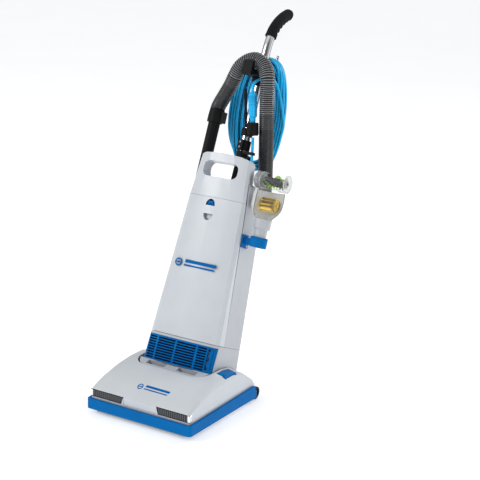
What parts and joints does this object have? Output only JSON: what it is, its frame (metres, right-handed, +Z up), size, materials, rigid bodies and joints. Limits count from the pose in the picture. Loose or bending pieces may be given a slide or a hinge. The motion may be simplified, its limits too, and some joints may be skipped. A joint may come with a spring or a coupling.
{
  "type": "upright vacuum cleaner",
  "caption": "Upright vacuum cleaner with a reclining bag body, powered brush head, hose with wand, turbo hand tool and a coiled power cord.",
  "frame": {"origin": "on the floor under the middle of the whole machine", "axes": "+Z up, -Y towards the front of the floor head, +X to the right seen from the front"},
  "size_m": [0.3978, 0.8171, 1.1398],
  "materials": {
    "housing": "light blue-grey moulded plastic, satin gloss",
    "housing_grey": "mid grey moulded plastic, satin",
    "blue": "mid blue moulded plastic, satin",
    "lens": "smoked transparent plastic over a dark recess",
    "black": "black moulded plastic with a fine grain",
    "rubber": "matt black rubber",
    "chrome": "bright plated steel",
    "steel": "brushed bare steel",
    "foam": "charcoal foam rubber with a fine open grain",
    "hose": "dark grey ribbed flexible plastic, semi gloss",
    "cord": "bright blue smooth cord jacket",
    "clear": "clear hard plastic",
    "yellow": "yellow moulded plastic",
    "lime": "lime green nylon bristles",
    "bristle": "black nylon bristles",
    "filter": "pleated white filter paper",
    "bag": "soft buff filter paper"
  },
  "bodies": {
    "base": {"base_plate": "housing_grey", "sole_plate": "housing_grey", "bumper": "blue", "hood": "housing", "lens_left": "lens", "lens_right": "lens", "brush_motor": "steel", "drive_belt": "rubber", "rear_axle_left": "steel", "rear_axle_right": "steel", "pivot_pin_left": "steel", "pivot_pin_right": "steel"},
    "upright": {"motor_housing": "housing_grey", "rear_housing": "housing_grey", "upper_housing": "housing", "vacuum_motor": "steel", "hepa_filter": "filter", "dust_bag": "bag", "bag_mount": "blue", "handle_tube": "chrome", "handle_grip": "foam", "tube_socket": "black", "tube_clamp": "black", "cord_hook_lower": "black", "hose_hook": "black", "hook_collar": "black", "hose": "hose", "hose_port": "black", "wand_holder": "black", "tool_clip": "blue", "cord_connector": "cord", "connector_holder": "black", "cord_lead": "cord", "strain_relief": "black", "cord_pigtail": "cord", "cord_coil": "cord", "cord_plug": "black"},
    "pedal": {"release_pedal": "blue"},
    "brush_roll": {"brush_core": "black", "brush_bristles": "bristle"},
    "drive_pulley": {"motor_pulley": "steel"},
    "front_left_roller": {"front_wheel_left": "rubber"},
    "front_right_roller": {"front_wheel_right": "rubber"},
    "rear_left_wheel": {"rear_wheel_left": "rubber"},
    "rear_right_wheel": {"rear_wheel_right": "rubber"},
    "door": {"bag_door": "housing"},
    "door_catch": {"door_latch": "blue"},
    "grille": {"exhaust_grille": "blue"},
    "grille_catch": {"grille_latch": "blue"},
    "fan": {"motor_fan": "steel"},
    "cord_hook": {"cord_hook_upper": "chrome"},
    "wand_assembly": {"wand": "black", "hose_cuff": "black"},
    "turbo_tool": {"tool_neck": "housing_grey", "tool_shell": "housing_grey", "tool_cover": "clear"},
    "turbine": {"tool_turbine": "yellow"},
    "turbo_brush": {"tool_brush": "black", "tool_bristles": "lime"},
    "switch": {"power_switch": "black"}
  },
  "joints": [
    {"name": "recline", "type": "hinge", "parent": "base", "child": "upright", "pos_m": [-0.01312, -0.13275, 0.08], "axis": [-1, 0, 0], "range_deg": [0, 50]},
    {"name": "pedal_press", "type": "hinge", "parent": "base", "child": "pedal", "pos_m": [-0.01312, -0.14375, 0.113], "axis": [1, 0, 0], "range_deg": [0, 5], "stiffness_Nm_per_rad": 3, "springref_deg": -8.59},
    {"name": "brush_spin", "type": "hinge", "parent": "base", "child": "brush_roll", "pos_m": [-0.01312, -0.35775, 0.03], "axis": [1, 0, 0], "continuous": true},
    {"name": "motor_spin", "type": "hinge", "parent": "base", "child": "drive_pulley", "pos_m": [-0.01312, -0.28775, 0.06], "axis": [1, 0, 0], "continuous": true},
    {"name": "front_left_roll", "type": "hinge", "parent": "base", "child": "front_left_roller", "pos_m": [-0.13312, -0.26975, 0.011], "axis": [1, 0, 0], "continuous": true},
    {"name": "front_right_roll", "type": "hinge", "parent": "base", "child": "front_right_roller", "pos_m": [0.10687, -0.26975, 0.011], "axis": [1, 0, 0], "continuous": true},
    {"name": "rear_left_roll", "type": "hinge", "parent": "base", "child": "rear_left_wheel", "pos_m": [-0.17613, -0.02695, 0.02], "axis": [1, 0, 0], "continuous": true},
    {"name": "rear_right_roll", "type": "hinge", "parent": "base", "child": "rear_right_wheel", "pos_m": [0.14988, -0.02695, 0.02], "axis": [1, 0, 0], "continuous": true},
    {"name": "door_open", "type": "hinge", "parent": "upright", "child": "door", "pos_m": [-0.01312, -0.19244, 0.21633], "axis": [1, 0, 0], "range_deg": [0, 95]},
    {"name": "door_catch_slide", "type": "slide", "parent": "door", "child": "door_catch", "axis": [0, -0.3843, -0.9232], "range_m": [0, 0.005], "stiffness_N_per_m": 800, "springref_m": -0.002},
    {"name": "grille_pull", "type": "slide", "parent": "upright", "child": "grille", "axis": [0, -0.9232, 0.3843], "range_m": [0, 0.04]},
    {"name": "grille_catch_slide", "type": "slide", "parent": "grille", "child": "grille_catch", "axis": [-1, 0, 0], "range_m": [0, 0.003], "stiffness_N_per_m": 800, "springref_m": -0.002},
    {"name": "fan_spin", "type": "hinge", "parent": "upright", "child": "fan", "pos_m": [-0.01312, -0.10119, 0.15711], "axis": [0, 0.3843, 0.9232], "continuous": true},
    {"name": "cord_hook_turn", "type": "hinge", "parent": "upright", "child": "cord_hook", "pos_m": [-0.01312, 0.26423, 0.9517], "axis": [0, 0.9232, -0.3843], "range_deg": [0, 180]},
    {"name": "wand_lift", "type": "slide", "parent": "upright", "child": "wand_assembly", "axis": [0, 0.3843, 0.9232], "range_m": [0, 0.12], "deforming": ["hose"]},
    {"name": "turbo_tool_lift", "type": "slide", "parent": "upright", "child": "turbo_tool", "axis": [0, 0.3843, 0.9232], "range_m": [0, 0.12]},
    {"name": "turbine_spin", "type": "hinge", "parent": "turbo_tool", "child": "turbine", "pos_m": [0.14988, 0.03135, 0.60562], "axis": [1, 0, 0], "continuous": true},
    {"name": "turbo_brush_spin", "type": "hinge", "parent": "turbo_tool", "child": "turbo_brush", "pos_m": [0.14988, 0.05825, 0.67025], "axis": [1, 0, 0], "continuous": true},
    {"name": "switch_rock", "type": "hinge", "parent": "upright", "child": "switch", "pos_m": [-0.07312, 0.08426, 0.63126], "axis": [0, 0.9232, -0.3843], "range_deg": [0, 12]}
  ],
  "couplings": [
    {"joint": "motor_spin", "follows": "brush_spin", "ratio": 2},
    {"joint": "turbine_spin", "follows": "turbo_brush_spin", "ratio": 1.5}
  ]
}
